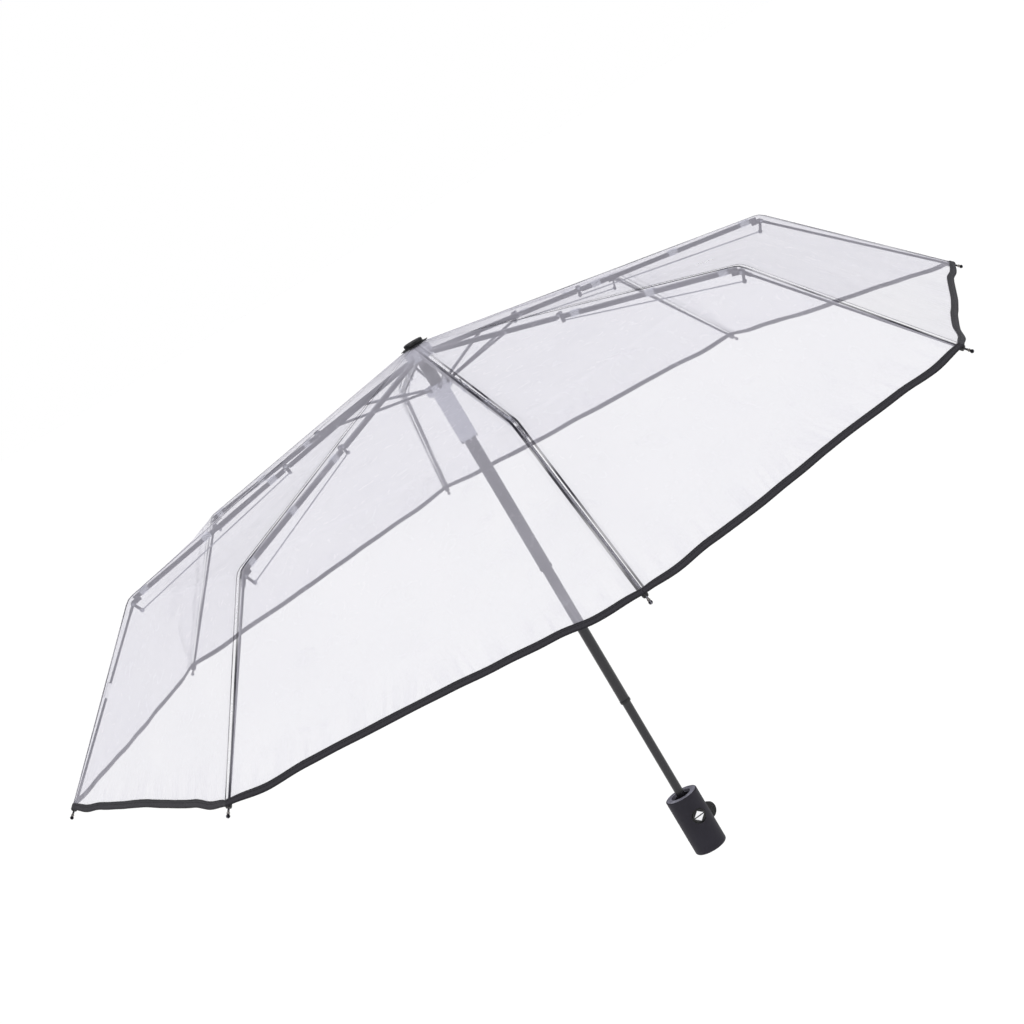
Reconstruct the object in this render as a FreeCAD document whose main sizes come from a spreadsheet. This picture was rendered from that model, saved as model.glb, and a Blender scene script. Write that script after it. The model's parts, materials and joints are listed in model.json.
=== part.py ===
"""Three-section folding umbrella with a clear canopy, drawn open.

Millimetres, +Z up the shaft, origin at the centre of the grip's bottom face, rib 1 over +X.
Each rib is drawn flat in its own frame (x along the rib, y sideways, z towards the canopy) and then
placed round the shaft.
"""
import FreeCAD, Part
import math
import os

import Sketcher

RIBS = 8
PARAMETERS = {
    # grip
    "gripRadius": 16.5, "gripHeight": 60.0, "gripEdge": 2.2, "cupRadius": 9.75, "cupFloor": 28.0,
    "socketRadius": 4.35, "socketFloor": 10.0, "capRecess": 3.0, "capRadius": 13.5,
    "buttonRadius": 6.8, "buttonGap": 0.3, "buttonHeight": 37.5, "buttonBack": 13.8,
    "buttonFront": 16.0, "pocketFloor": 11.3, "buttonAngle": 101.0,
    "lugAngle": 202.5, "lugHeight": 30.0, "lugRadius": 8.5, "lugReach": 17.0, "lugThick": 3.6,
    "lugHole": 1.6, "lugHoleAt": 21.4,
    # shaft
    "lowOuter": 4.3, "lowInner": 3.6, "lowTop": 196.0,
    "midOuter": 5.1, "midInner": 4.4, "midBottom": 166.0, "midTop": 346.0,
    "upOuter": 6.0, "upInner": 5.2, "upBottom": 316.0, "upTop": 557.0,
    "collarThick": 0.45, "collarLength": 7.0,
    # crown and runner
    "crownRadius": 11.0, "crownHeight": 550.0, "wireRadius": 0.6, "grooveRadius": 0.64,
    "notchRadius": 13.2, "notchBottom": 545.0, "notchTop": 556.5, "notchSlotTop": 552.7,
    "notchBore": 6.05, "slotFloor": 8.4, "slotWidth": 2.9,
    "runnerBore": 6.3, "runnerSleeve": 8.75, "runnerLength": 58.0, "runnerFlange": 13.2,
    "runnerNeck": 8.0, "runnerUnder": 5.0, "runnerOver": 2.8, "runnerSlotFloor": 8.75,
    "capDisc": 9.5, "capThick": 3.5, "capSeat": 559.95, "capStem": 5.0, "capStemBottom": 540.0,
    "washerRadius": 13.5, "washerThick": 0.6,
    # ribs
    "ribSlope": 9.24, "ribWidth": 4.0, "ribInside": 3.0, "ribDepth": 4.0, "ribDrop": 0.3,
    "ribWall": 0.5, "topLength": 150.0, "midLength": 186.0, "tongueWidth": 2.4, "eyeRadius": 2.2,
    "pinRadius": 0.9, "pinHole": 0.95, "pinHalf": 2.2, "earRadius": 2.4,
    "stretchAt": 90.0, "stretchDrop": 2.5, "stretchWidth": 2.3, "stretchDepth": 2.2,
    "stretchPin": 0.8, "stretchHole": 0.85, "stretchEye": 1.4, "runnerEye": 1.9, "wireHole": 0.78,
    "elbowDrop": 5.5, "outerSlope": 42.68, "outerLength": 196.15, "outerRod": 1.15,
    "tipPin": 0.9, "tipReach": 7.5, "tipBall": 1.7,
    "rodRadius": 0.6, "rodOffset": 3.4, "rodEyeThick": 0.8, "rodEye": 1.7, "rodHole": 0.75,
    "rodFarEye": 2.1, "rodFarHole": 1.15, "rodPin": 0.7, "rodPinEnd": 4.3, "rodDrop": 7.0,
    "crankDown": 9.22, "crankBack": 2.81, "crankThick": 0.5, "crankAt": 2.2, "crankWidth": 2.6,
    # canopy
    "filmCrown": 8.5, "filmCrownHeight": 558.5, "filmElbow": 345.7, "filmElbowHeight": 500.0,
    "filmRim": 487.5, "filmRimHeight": 359.2, "filmThick": 0.7,
    "hemWidth": 7.0, "hemThick": 0.8,
}
NAMED = dict(PARAMETERS)

doc = FreeCAD.newDocument("FoldingUmbrella")
sheet = doc.addObject("Spreadsheet::Sheet", "Dimensions")
for row, (alias, value) in enumerate(PARAMETERS.items(), start=1):
    sheet.set(f"A{row}", alias)
    sheet.set(f"B{row}", str(value))
    sheet.setAlias(f"B{row}", alias)
doc.recompute()

Vec = FreeCAD.Vector
Y_AXIS = Vec(0, 1, 0)
NODES = []
UP = FreeCAD.Rotation()


def cells(expression):
    """Rewrites the aliases of an expression so that they point at the sheet."""
    out, word = "", ""
    for c in expression + " ":
        if c.isalnum():
            word += c
            continue
        out += f"Dimensions.{word}" if word in NAMED else word
        out, word = out + c, ""
    return out.strip()


def bind(obj, **sizes):
    for prop, expression in sizes.items():
        obj.setExpression(prop.replace("_", "."), cells(str(expression)))


def place(obj, at, rotation=UP):
    """Moves a primitive; each coordinate is an expression of the sheet."""
    obj.Placement = FreeCAD.Placement(Vec(), rotation)
    for axis, expression in zip("xyz", at):
        obj.setExpression(f"Placement.Base.{axis}", cells(str(expression)))


def box(x, y, z):
    """A box between (low, high) expressions on each axis."""
    o = doc.addObject("Part::Box", "Bar")
    bind(o, Length=f"({x[1]})-({x[0]})", Width=f"({y[1]})-({y[0]})", Height=f"({z[1]})-({z[0]})")
    place(o, (x[0], y[0], z[0]))
    return o


def rod_y(at, radius, low, high):
    """A round pin or disc along y about the point at = (x, z)."""
    o = doc.addObject("Part::Cylinder", "Pin")
    bind(o, Radius=radius, Height=f"({high})-({low})")
    place(o, (at[0], low, at[1]), FreeCAD.Rotation(Vec(1, 0, 0), -90))
    return o


def rod_x(low, high, radius, y="0", z="0"):
    o = doc.addObject("Part::Cylinder", "Wire")
    bind(o, Radius=radius, Height=f"({high})-({low})")
    place(o, (low, y, z), FreeCAD.Rotation(Y_AXIS, 90))
    return o


def rod_z(low, high, radius, x="0", y="0"):
    o = doc.addObject("Part::Cylinder", "Round")
    bind(o, Radius=radius, Height=f"({high})-({low})")
    place(o, (x, y, low))
    return o


def fuse(*shapes):
    o = doc.addObject("Part::MultiFuse", "Joined")
    o.Shapes = list(shapes)
    return o


def cut(base, *tools):
    o = doc.addObject("Part::Cut", "Trimmed")
    o.Base, o.Tool = base, tools[0] if len(tools) == 1 else fuse(*tools)
    return o


def node(obj, name, placement=None):
    """Names a finished piece and puts it where it belongs."""
    obj.Label = name
    if placement is not None:
        obj.Placement = placement
    NODES.append(obj)
    return obj


def sheet_values():
    return {alias: float(sheet.get(alias)) for alias in NAMED}


V = sheet_values()
SLOPE = math.radians(V["ribSlope"])
ALONG = Vec(math.cos(SLOPE), 0, -math.sin(SLOPE))
OUTWARD = Vec(math.sin(SLOPE), 0, math.cos(SLOPE))
CROWN = Vec(V["crownRadius"], 0, V["crownHeight"])
STRETCH_TILT = V["ribSlope"] + math.degrees(math.asin(V["stretchDrop"] / V["stretchAt"]))
RUNNER_Z = V["crownHeight"] - 2 * V["stretchAt"] * math.sin(math.radians(STRETCH_TILT))
KNEE = CROWN + ALONG * V["topLength"]
ELBOW = KNEE + ALONG * V["midLength"] - OUTWARD * V["elbowDrop"]
ROD_START = KNEE - OUTWARD * V["rodDrop"]
CRANK = OUTWARD * -V["crankDown"] - ALONG * V["crankBack"]
ROD_END = ELBOW + CRANK
ROD_LINE = ROD_END - ROD_START
ROD_TILT = math.degrees(math.atan2(-ROD_LINE.z, ROD_LINE.x))


def rib_placement(number, point, tilt):
    """Rib number's placement: turned round the shaft, at point in its plane, tilted down by tilt."""
    turn = FreeCAD.Rotation(Vec(0, 0, 1), (number - 1) * 360 / RIBS)
    return FreeCAD.Placement(turn.multVec(point), turn * FreeCAD.Rotation(Y_AXIS, tilt))


def channel(low, high):
    """A folded steel channel between two stations, open on the underside."""
    body = box((low, high), ("-ribWidth/2", "ribWidth/2"), ("-ribDrop-ribDepth", "-ribDrop"))
    hollow = box((f"{low}-1", f"{high}+1"), ("-ribInside/2", "ribInside/2"),
                 ("-ribDrop-ribDepth-1", "-ribDrop-ribWall"))
    return cut(body, hollow)


def ear(at, side, reach, low, high, radius="earRadius"):
    """One cheek of a fork: a disc about at = (x, z), and a strip from reach to the disc."""
    y = ("ribInside/2", "ribWidth/2") if side > 0 else ("-ribWidth/2", "-ribInside/2")
    return [rod_y(at, radius, *y), box((reach, at[0]), y, (low, high))]


def top_rib(number):
    knee = ("topLength", "0")
    half = ("-tongueWidth/2", "tongueWidth/2")
    solid = [
        channel("7", "topLength-3"),
        rod_y(("0", "0"), "eyeRadius", *half),
        box(("0", "8"), half, ("-eyeRadius", "-ribDrop")),
        box(("7.2", "12"), ("-ribInside/2", "ribInside/2"), ("-eyeRadius", "-ribDrop")),
        rod_y(knee, "pinRadius", "-pinHalf", "pinHalf"),
        rod_y(("sqrt(stretchAt^2-stretchDrop^2)", "-stretchDrop"), "stretchPin", "-pinHalf", "pinHalf"),
        box(("topLength-1.6", "topLength+1.6"), ("ribInside/2", "ribWidth/2"), ("-rodDrop", "0")),
        rod_y(("topLength", "-rodDrop"), "1.6", "ribInside/2", "ribWidth/2"),
        rod_y(("topLength", "-rodDrop"), "rodPin", "ribInside/2", "rodPinEnd"),
    ]
    for side in (1, -1):
        solid += ear(knee, side, "topLength-8", "-earRadius", "-ribDrop")
    eye = rod_y(("0", "0"), "wireHole", "-3", "3")
    node(cut(fuse(*solid), eye), f"top_rib_{number}", rib_placement(number, CROWN, V["ribSlope"]))


def stretcher(number):
    half = ("-stretchWidth/2", "stretchWidth/2")
    solid = fuse(
        box(("0", "stretchAt"), half, ("-stretchDepth/2", "stretchDepth/2")),
        rod_y(("0", "0"), "runnerEye", *half),
        rod_y(("stretchAt", "0"), "stretchEye", *half),
    )
    holes = [rod_y(("0", "0"), "wireHole", "-2", "2"), rod_y(("stretchAt", "0"), "stretchHole", "-2", "2")]
    at = Vec(V["crownRadius"], 0, RUNNER_Z)
    node(cut(solid, *holes), f"stretcher_{number}", rib_placement(number, at, -STRETCH_TILT))


def middle_rib(number):
    elbow = ("midLength", "-elbowDrop")
    half = ("-tongueWidth/2", "tongueWidth/2")
    solid = [
        channel("3", "midLength-4"),
        rod_y(("0", "0"), "eyeRadius", *half),
        box(("0", "8"), half, ("-eyeRadius", "-ribDrop")),
        box(("3.5", "8"), ("-ribInside/2", "ribInside/2"), ("-eyeRadius", "-ribDrop")),
    ]
    for side in (1, -1):
        solid += ear(elbow, side, "midLength-9", "-elbowDrop-1.5", "-ribDrop-ribDepth+1.5", "eyeRadius")
    holes = [rod_y(("0", "0"), "pinHole", "-3", "3"), rod_y(elbow, "pinHole", "-3", "3")]
    node(cut(fuse(*solid), *holes), f"middle_rib_{number}", rib_placement(number, KNEE, V["ribSlope"]))


def outer_rib(number):
    half = ("-tongueWidth/2", "tongueWidth/2")
    turn = FreeCAD.Rotation(Y_AXIS, V["outerSlope"])
    crank = turn.inverted().multVec(CRANK)
    angle = math.degrees(math.atan2(-crank.z, crank.x))
    far = (f"{crank.x:.4f}", f"{crank.z:.4f}")
    arm = box(("0", f"{CRANK.Length:.4f}"), ("0", "crankThick"), ("-crankWidth/2", "crankWidth/2"))
    arm.Placement.Rotation = FreeCAD.Rotation(Y_AXIS, angle)
    side = math.radians(angle)
    arm.setExpression("Placement.Base.x", cells(f"-crankWidth/2*{math.sin(side):.6f}"))
    arm.setExpression("Placement.Base.y", cells("crankAt"))
    arm.setExpression("Placement.Base.z", cells(f"-crankWidth/2*{math.cos(side):.6f}"))
    ball = doc.addObject("Part::Sphere", "Ball")
    bind(ball, Radius="tipBall")
    place(ball, ("outerLength+tipReach", "0", "0"))
    solid = fuse(
        rod_y(("0", "0"), "eyeRadius", *half),
        box(("0", "9"), half, ("-1.3", "1.3")),
        rod_x("6", "outerLength-4", "outerRod"),
        rod_x("outerLength-8", "outerLength+tipReach", "tipPin"),
        ball,
        rod_y(("0", "0"), "pinRadius", "-pinHalf", "crankAt+crankThick"),
        arm,
        rod_y(("0", "0"), "crankWidth/2", "crankAt", "crankAt+crankThick"),
        rod_y(far, "1.5", "crankAt", "crankAt+crankThick"),
        rod_y(far, "rodPin", "crankAt", "rodPinEnd"),
    )
    node(solid, f"outer_rib_{number}", rib_placement(number, ELBOW, V["outerSlope"]))


def control_rod(number):
    length = f"{ROD_LINE.Length:.4f}"
    faces = ("rodOffset-rodEyeThick/2", "rodOffset+rodEyeThick/2")
    solid = fuse(
        rod_x("1.1", f"{length}-1.4", "rodRadius", "rodOffset"),
        rod_y(("0", "0"), "rodEye", *faces),
        rod_y((length, "0"), "rodFarEye", *faces),
    )
    holes = [rod_y(("0", "0"), "rodHole", "0", "6"), rod_y((length, "0"), "rodFarHole", "0", "6")]
    node(cut(solid, *holes), f"control_rod_{number}", rib_placement(number, ROD_START, ROD_TILT))


for number in range(1, RIBS + 1):
    for build in (top_rib, stretcher, middle_rib, outer_rib, control_rod):
        build(number)


def turned(name, outline, closing=()):
    """A PartDesign body turned about Z from (radius, height) expressions, with some edges rounded."""
    body = doc.addObject("PartDesign::Body", "Turned")
    sketch = body.newObject("Sketcher::SketchObject", "Profile")
    plane = [f for f in body.Origin.OriginFeatures if f.Role == "XZ_Plane"][0]
    sketch.AttachmentSupport, sketch.MapMode = (plane, ""), "FlatFace"
    points = [tuple(value_of(c) for c in corner) for corner in outline]
    for i, p in enumerate(points):
        q = points[(i + 1) % len(points)]
        sketch.addGeometry(Part.LineSegment(Vec(*p, 0), Vec(*q, 0)), False)
    for i in range(len(points)):
        sketch.addConstraint(Sketcher.Constraint("Coincident", i, 2, (i + 1) % len(points), 1))
    for i, corner in enumerate(outline):
        for kind, measure, expression in (("DistanceX", "x", corner[0]), ("DistanceY", "y", corner[1])):
            value = points[i]["xy".index(measure)]
            index = sketch.addConstraint(Sketcher.Constraint(kind, -1, 1, i, 1, value))
            sketch.setExpression(f"Constraints[{index}]", cells(str(expression)))
    turn = body.newObject("PartDesign::Revolution", "Turn")
    turn.Profile, turn.Angle = sketch, 360
    turn.ReferenceAxis = (sketch, ["V_Axis"])
    doc.recompute()
    for size, heights in closing:
        soften(body, size, heights)
    return body


def value_of(expression):
    """The number that a sheet expression stands for at the drawn size."""
    probe = doc.getObject("Probe") or doc.addObject("App::FeaturePython", "Probe")
    if "Value" not in probe.PropertiesList:
        probe.addProperty("App::PropertyFloat", "Value")
    probe.setExpression("Value", cells(str(expression)))
    probe.recompute()
    return probe.Value


def soften(body, size, heights):
    """Rounds the round edges of a turned body that lie at the given (radius, height) pairs."""
    base, wanted = body.Tip, []
    for i, edge in enumerate(base.Shape.Edges, start=1):
        if edge.Curve.TypeId != "Part::GeomCircle":
            continue
        at = (edge.Curve.Radius, edge.Curve.Center.z)
        if any(math.dist(at, (value_of(r), value_of(z))) < 0.05 for r, z in heights):
            wanted.append(f"Edge{i}")
    fillet = body.newObject("PartDesign::Fillet", "Softened")
    fillet.Base = (base, wanted)
    bind(fillet, Radius=size)
    doc.recompute()


def tube(name, inner, outer, low, high):
    return node(turned(name, [(inner, low), (outer, low), (outer, high), (inner, high)]), name)


def slots(floor, low, high, width):
    """Radial slots, one per rib, cut from floor outwards."""
    made = []
    for i in range(RIBS):
        o = box(("0", "10"), (f"-{width}/2", f"{width}/2"), ("0", f"({high})-({low})"))
        angle = math.radians(i * 360 / RIBS)
        turn = FreeCAD.Rotation(Vec(0, 0, 1), i * 360 / RIBS)
        corner = turn.multVec(Vec(V[floor], -V[width] / 2, value_of(low)))
        o.Placement = FreeCAD.Placement(corner, turn)
        for axis in "xyz":
            o.setExpression(f"Placement.Base.{axis}", None)
        made.append(o)
    return made


def ring(radius, wire, height):
    o = doc.addObject("Part::Torus", "Ring")
    bind(o, Radius1=radius, Radius2=wire)
    place(o, ("0", "0", height))
    return o


# crown: the notch that holds the rib heads on a wire ring, the cap and its washer
notch = turned("notch", [("notchBore", "notchBottom"), ("notchRadius", "notchBottom"),
                         ("notchRadius", "notchTop-1.5"), ("notchRadius-2.5", "notchTop"),
                         ("notchBore", "notchTop")])
node(cut(notch, *slots("slotFloor", "notchBottom-1", "notchSlotTop", "slotWidth"),
         ring("crownRadius", "grooveRadius", "crownHeight")), "crown_notch")
node(ring("crownRadius", "wireRadius", "crownHeight"), "crown_ring_wire")
node(turned("cap", [("0", "capStemBottom"), ("capStem", "capStemBottom"), ("capStem", "capSeat"),
                    ("capDisc", "capSeat"), ("capDisc", "capSeat+capThick"), ("0", "capSeat+capThick")],
            [("1.4", [("capDisc", "capSeat+capThick")])]), "top_cap")
tube("cap_washer", "capStem+0.1", "washerRadius", "capSeat-washerThick-0.05", "capSeat-0.05")

# runner: flange with eight slots on the same kind of ring, and the sleeve that is held to close it
at = f"{RUNNER_Z:.5f}"
runner = turned("runner", [
    ("runnerBore", f"{at}-runnerLength"), ("runnerSleeve-0.6", f"{at}-runnerLength"),
    ("runnerSleeve", f"{at}-runnerLength+1"), ("runnerSleeve", f"{at}-runnerNeck"),
    ("runnerFlange", f"{at}-runnerUnder"), ("runnerFlange", f"{at}+runnerOver"),
    ("runnerBore", f"{at}+runnerOver")])
node(cut(runner, *slots("runnerSlotFloor", f"{at}-2.2", f"{at}+runnerOver+1", "slotWidth"),
         ring("crownRadius", "grooveRadius", at)), "runner")
node(ring("crownRadius", "wireRadius", at), "runner_ring_wire")

# telescoping shaft, with a collar at each step
tube("upper_tube", "upInner", "upOuter", "upBottom", "upTop")
tube("middle_tube", "midInner", "midOuter", "midBottom", "midTop")
tube("lower_tube", "lowInner", "lowOuter", "socketFloor", "lowTop")

# grip: shell with the cup that takes the closed runner, base cap, push button and strap lug
shell = turned("shell", [
    ("0", "capRecess"), ("capRadius", "capRecess"), ("capRadius", "0"), ("gripRadius", "0"),
    ("gripRadius", "gripHeight"), ("cupRadius", "gripHeight"), ("cupRadius", "cupFloor"),
    ("socketRadius", "cupFloor"), ("socketRadius", "socketFloor"), ("0", "socketFloor")],
    [("gripEdge", [("gripRadius", "0")]), ("0.8", [("gripRadius", "gripHeight")])])


def radial(angle, low, high, radius, height):
    """A round bar that points out of the grip's side at an angle about Z."""
    o = doc.addObject("Part::Cylinder", "Radial")
    bind(o, Radius=radius, Height=f"({high})-({low})")
    turn = FreeCAD.Rotation(Vec(0, 0, 1), V[angle]) * FreeCAD.Rotation(Y_AXIS, 90)
    out = FreeCAD.Rotation(Vec(0, 0, 1), V[angle]).multVec(Vec(1, 0, 0))
    o.Placement.Rotation = turn
    bind(o, **{"Placement_Base_x": f"({low})*{out.x:.9f}", "Placement_Base_y": f"({low})*{out.y:.9f}",
               "Placement_Base_z": height})
    return o


pocket = radial("buttonAngle", "pocketFloor", "20", "buttonRadius+buttonGap", "buttonHeight")
node(cut(shell, pocket), "handle_shell")
node(turned("base", [("0", "0"), ("capRadius-0.8", "0"), ("capRadius", "0.8"),
                     ("capRadius", "capRecess"), ("0", "capRecess")]), "handle_base_cap")
button = radial("buttonAngle", "buttonBack", "buttonFront", "buttonRadius", "buttonHeight")
node(button, "push_button")

lug_turn = FreeCAD.Rotation(Vec(0, 0, 1), V["lugAngle"])
lug = cut(rod_y(("0", "0"), "lugRadius", "-lugThick/2", "lugThick/2"),
          rod_y(("lugHoleAt-lugReach", "0"), "lugHole", "-4", "4"))
trim = rod_z("-10", "10", "gripRadius", "-lugReach")
node(cut(lug, trim), "strap_lug",
     FreeCAD.Placement(lug_turn.multVec(Vec(V["lugReach"], 0, V["lugHeight"])), lug_turn))


def octagon(radius, height):
    o = doc.addObject("Part::RegularPolygon", "Octagon")
    o.Polygon = RIBS
    bind(o, Circumradius=radius)
    place(o, ("0", "0", height))
    return o


def frustum(*sections):
    o = doc.addObject("Part::Loft", "Faceted")
    o.Sections, o.Solid, o.Ruled = [octagon(*s) for s in sections], True, True
    return o


RIM_ANGLE = math.atan2(V["filmElbowHeight"] - V["filmRimHeight"], V["filmRim"] - V["filmElbow"])


def up_rim(distance, lift):
    """A section of the lower panel, distance up from the rim and lifted."""
    return (f"filmRim-({distance})*{math.cos(RIM_ANGLE):.8f}",
            f"filmRimHeight+({distance})*{math.sin(RIM_ANGLE):.8f}+{lift}")


def panels():
    """The film: eight welded panels, each with a flat upper and lower facet that meet at the knee."""
    rings = [("filmCrown", "filmCrownHeight"), ("filmElbow", "filmElbowHeight"), ("filmRim", "filmRimHeight")]
    facets = []
    for i in range(RIBS):
        turns = [FreeCAD.Rotation(Vec(0, 0, 1), (i + j) * 360 / RIBS) for j in (0, 1)]
        for inner, outer in zip(rings, rings[1:]):
            near, far = [[t.multVec(Vec(V[r], 0, V[z])) for t in turns] for r, z in (inner, outer)]
            outline = Part.makePolygon([near[0], near[1], far[1], far[0], near[0]])
            facets.append(Part.Face(outline).extrude(Vec(0, 0, -V["filmThick"])))
    return Part.Compound(facets)


film = doc.addObject("Part::Feature", "Film")
film.Shape = panels()
node(film, "canopy_film")
node(cut(frustum(up_rim("hemWidth", "hemThick"), up_rim("0", "hemThick")),
         frustum(up_rim("hemWidth+4", "0"), up_rim("-4", "0"))), "hem_binding")

doc.recompute()

failed = [o.Label for o in doc.Objects if {"Invalid", "Error"} & set(o.State)]
failed += [o.Label for o in NODES if o.Shape.isNull() or not o.Shape.isValid() or o.Shape.Volume <= 0]
if failed:
    raise SystemExit(f"failed objects: {failed}")
os.makedirs("parts", exist_ok=True)
for obj in NODES:
    obj.Shape.exportStep(f"parts/{obj.Label}.step")
    print(f"{obj.Label}: {len(obj.Shape.Solids)} solid, {obj.Shape.Volume:.1f} mm3")
print(f"runner pivot height {RUNNER_Z:.5f}, elbow {ELBOW}, rod start {ROD_START}, rod end {ROD_END}")
print(f"rod length {ROD_LINE.Length:.3f}, tilt {ROD_TILT:.4f}")
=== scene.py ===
"""Clear folding umbrella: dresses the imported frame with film, edge tape, fittings and finishes."""
import json
import logging
import math
from dataclasses import dataclass, field
from enum import Enum
from typing import Optional, Sequence

import bmesh
import bpy
from mathutils import Matrix, Vector, noise


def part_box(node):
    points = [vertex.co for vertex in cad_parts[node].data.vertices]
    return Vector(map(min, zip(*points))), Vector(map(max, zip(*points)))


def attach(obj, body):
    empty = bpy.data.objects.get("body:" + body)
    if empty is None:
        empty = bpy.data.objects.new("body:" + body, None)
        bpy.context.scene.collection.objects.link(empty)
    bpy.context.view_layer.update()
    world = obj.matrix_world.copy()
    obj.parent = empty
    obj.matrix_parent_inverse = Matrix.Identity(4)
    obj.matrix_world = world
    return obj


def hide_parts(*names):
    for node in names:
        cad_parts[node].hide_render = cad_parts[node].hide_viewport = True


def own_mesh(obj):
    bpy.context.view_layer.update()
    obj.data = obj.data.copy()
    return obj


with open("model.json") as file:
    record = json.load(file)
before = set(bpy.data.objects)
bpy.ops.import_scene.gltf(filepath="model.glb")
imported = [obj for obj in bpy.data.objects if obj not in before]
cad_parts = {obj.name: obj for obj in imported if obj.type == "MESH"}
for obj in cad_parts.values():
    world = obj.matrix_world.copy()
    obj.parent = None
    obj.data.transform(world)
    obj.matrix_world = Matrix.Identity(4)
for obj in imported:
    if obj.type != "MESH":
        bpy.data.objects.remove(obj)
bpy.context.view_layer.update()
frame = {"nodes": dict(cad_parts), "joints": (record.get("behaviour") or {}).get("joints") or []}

LOG = logging.getLogger("umbrella")
MM = 0.001
RIBS = 8
WELD = 1e-6
TURN = 2 * math.pi
JOINTS = {j["name"]: j for j in frame["joints"]}


class Side(Enum):
    """The two half panels that meet on a rib, as seen from the crown."""

    LEFT = 1
    RIGHT = -1


class Section(Enum):
    """The three lengths of a folding rib, named as their bodies are."""

    TOP = "top_rib"
    MIDDLE = "middle_rib"
    OUTER = "outer_rib"


# ---------------------------------------------------------------- finishes


def linear(hex_colour: str) -> tuple[float, float, float, float]:
    """Turns an sRGB hex colour into linear light.

    Args:
        hex_colour: Six hex digits.

    Returns:
        Linear red, green, blue and an alpha of 1.
    """
    parts = [int(hex_colour[i:i + 2], 16) / 255 for i in (0, 2, 4)]
    lin = [c / 12.92 if c <= 0.04045 else ((c + 0.055) / 1.055) ** 2.4 for c in parts]
    return (lin[0], lin[1], lin[2], 1.0)


def add(tree: bpy.types.NodeTree, kind: str, **settings: object) -> bpy.types.Node:
    """Adds one shader node.

    Args:
        tree: The material's node tree.
        kind: The node's type, without the ShaderNode prefix.
        **settings: Node properties by name, or inputs by i0, i1 or by name with underscores for
            spaces. An input given a socket is linked to it.

    Returns:
        The new node.
    """
    node = tree.nodes.new("ShaderNode" + kind)
    late = {}
    for key, value in settings.items():
        if hasattr(node, key) and not isinstance(value, bpy.types.NodeSocket):
            setattr(node, key, value)
        else:
            late[key] = value
    for key, value in late.items():
        socket = node.inputs[int(key[1:])] if key[1:].isdigit() else node.inputs[key.replace("_", " ")]
        if isinstance(value, bpy.types.NodeSocket):
            tree.links.new(value, socket)
        else:
            socket.default_value = value
    return node


def ramp(tree: bpy.types.NodeTree, fac: bpy.types.NodeSocket,
         stops: Sequence[tuple[float, str]]) -> bpy.types.NodeSocket:
    """A colour ramp over (position, hex) stops.

    Args:
        tree: The material's node tree.
        fac: What drives the ramp.
        stops: Positions from 0 to 1 with their hex colours.

    Returns:
        The ramp's colour socket.
    """
    node = add(tree, "ValToRGB", Fac=fac)
    elements = node.color_ramp.elements
    while len(elements) < len(stops):
        elements.new(0.5)
    for element, (position, colour) in zip(elements, stops):
        element.position, element.color = position, linear(colour)
    return node.outputs["Color"]


class Recipe:
    """A finish whose material is built once and then shared."""

    name: str

    def make(self) -> bpy.types.Material:
        """Gives the material back, and builds it the first time.

        Returns:
            The material.
        """
        found = bpy.data.materials.get(self.name)
        if found:
            return found
        material = bpy.data.materials.new(self.name)
        material.use_nodes = True
        material.node_tree.nodes.clear()
        self.lay(material.node_tree)
        return material

    def lay(self, tree: bpy.types.NodeTree) -> None:
        """Adds the nodes; each finish has its own."""
        raise NotImplementedError


@dataclass(frozen=True)
class Finish(Recipe):
    """A surface that is told by its colour, its shine and a fine mottle in both.

    Attributes:
        name: The real material, and how it was made.
        dark: Hex colour in the hollows of the mottle.
        light: Hex colour on its peaks.
        grain_mm: Size of the mottle.
        roughness: Lowest and highest roughness.
        metallic: 1 for bare metal.
        relief_mm: Depth of the mottle as bump.
        stretch: How much longer the mottle is along Z than across.
        coat: Weight of a clear coat.
        clear: Share of light that passes, for translucent mouldings.
        specular: Specular level, lower on paint that scatters.
    """

    name: str
    dark: str
    light: str
    grain_mm: float = 0.6
    roughness: tuple[float, float] = (0.4, 0.55)
    metallic: float = 0.0
    relief_mm: float = 0.01
    stretch: float = 1.0
    coat: float = 0.0
    clear: float = 0.0
    specular: float = 0.5

    def lay(self, tree: bpy.types.NodeTree) -> None:
        """Adds the finish's nodes to an empty tree."""
        place = add(tree, "TexCoord")
        mapped = add(tree, "Mapping", Vector=place.outputs["Object"], Scale=(1, 1, 1 / self.stretch))
        grain = add(tree, "TexNoise", Vector=mapped.outputs["Vector"], Scale=1 / (self.grain_mm * MM),
                    Detail=3.0, Roughness=0.6)
        broad = add(tree, "TexNoise", Vector=mapped.outputs["Vector"], Scale=1 / (25 * MM), Detail=2.0)
        mixed = add(tree, "Math", operation="MULTIPLY_ADD", i0=grain.outputs["Fac"], i1=0.6)
        tree.links.new(add(tree, "Math", operation="MULTIPLY", i0=broad.outputs["Fac"], i1=0.4).outputs[0],
                       mixed.inputs[2])
        colour = ramp(tree, mixed.outputs[0], [(0.3, self.dark), (0.7, self.light)])
        rough = add(tree, "MapRange", Value=mixed.outputs[0], i1=0.3, i2=0.7,
                    i3=self.roughness[0], i4=self.roughness[1])
        bump = add(tree, "Bump", Height=grain.outputs["Fac"], Strength=0.35, Distance=self.relief_mm * MM)
        surface = add(tree, "BsdfPrincipled", Base_Color=colour, Roughness=rough.outputs[0],
                      Metallic=self.metallic, Coat_Weight=self.coat,
                      Specular_IOR_Level=self.specular, Normal=bump.outputs["Normal"])
        shown = surface.outputs[0]
        if self.clear:
            through = add(tree, "BsdfTransparent", Color=linear(self.light))
            shown = add(tree, "MixShader", Fac=1 - self.clear, i1=through.outputs[0],
                        i2=surface.outputs[0]).outputs[0]
        add(tree, "OutputMaterial", Surface=shown)


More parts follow.
